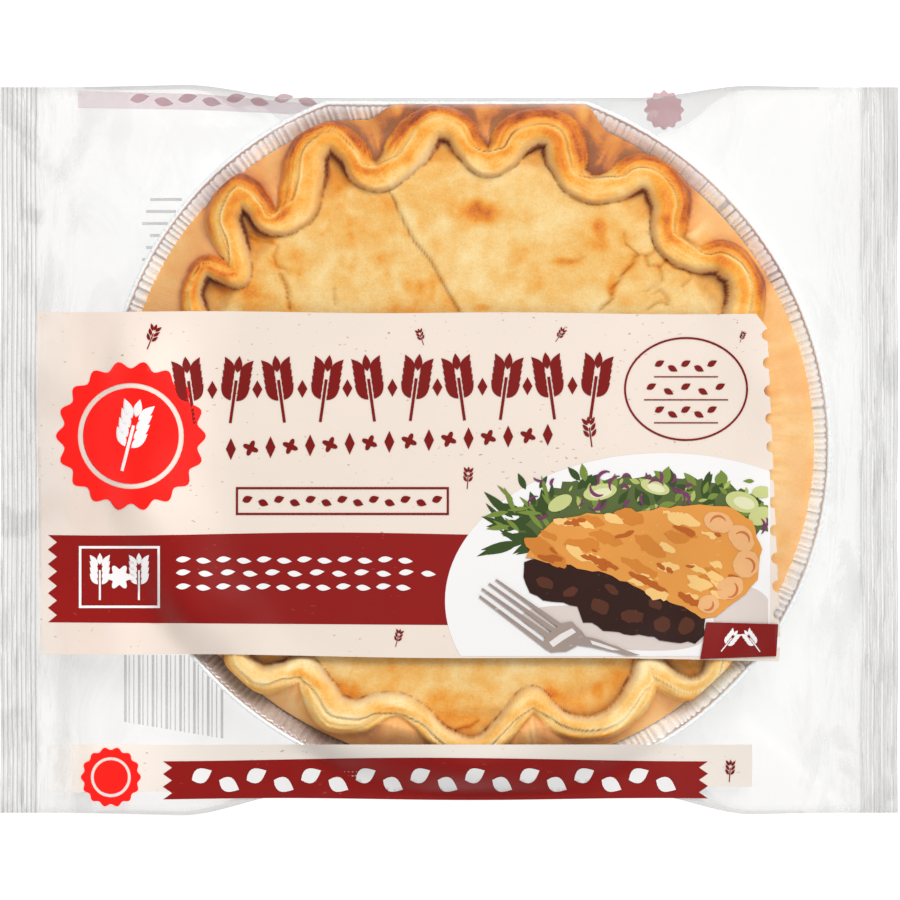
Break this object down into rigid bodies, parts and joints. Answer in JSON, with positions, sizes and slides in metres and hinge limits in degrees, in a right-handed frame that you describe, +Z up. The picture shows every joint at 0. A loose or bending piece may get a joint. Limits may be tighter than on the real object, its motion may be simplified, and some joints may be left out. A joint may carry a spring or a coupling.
{
  "type": "packaged steak pie",
  "caption": "Round steak pie with a hand-fluted crust in a foil tin, sealed in a clear printed bag with crimped ends.",
  "frame": {"origin": "centre of the pack's footprint, at the height of the surface that it lies on", "axes": "+X along the bag from seal to seal, +Y across the bag towards the top edge of its print, +Z up out of the crust"},
  "size_m": [0.276, 0.2232, 0.044],
  "materials": {
    "clear_film": "clear glossy film, whitish where it lies in folds, pressed into fine ridges at both seals",
    "pastry": "baked pastry, pale cream to golden brown, slightly glossy on the crests of the flutes",
    "foil": "bright pleated aluminium foil with a rolled rim",
    "print": "cream and dark red ink on film, satin"
  },
  "bodies": {
    "root": {"pie_pack": "clear_film"}
  },
  "joints": []
}
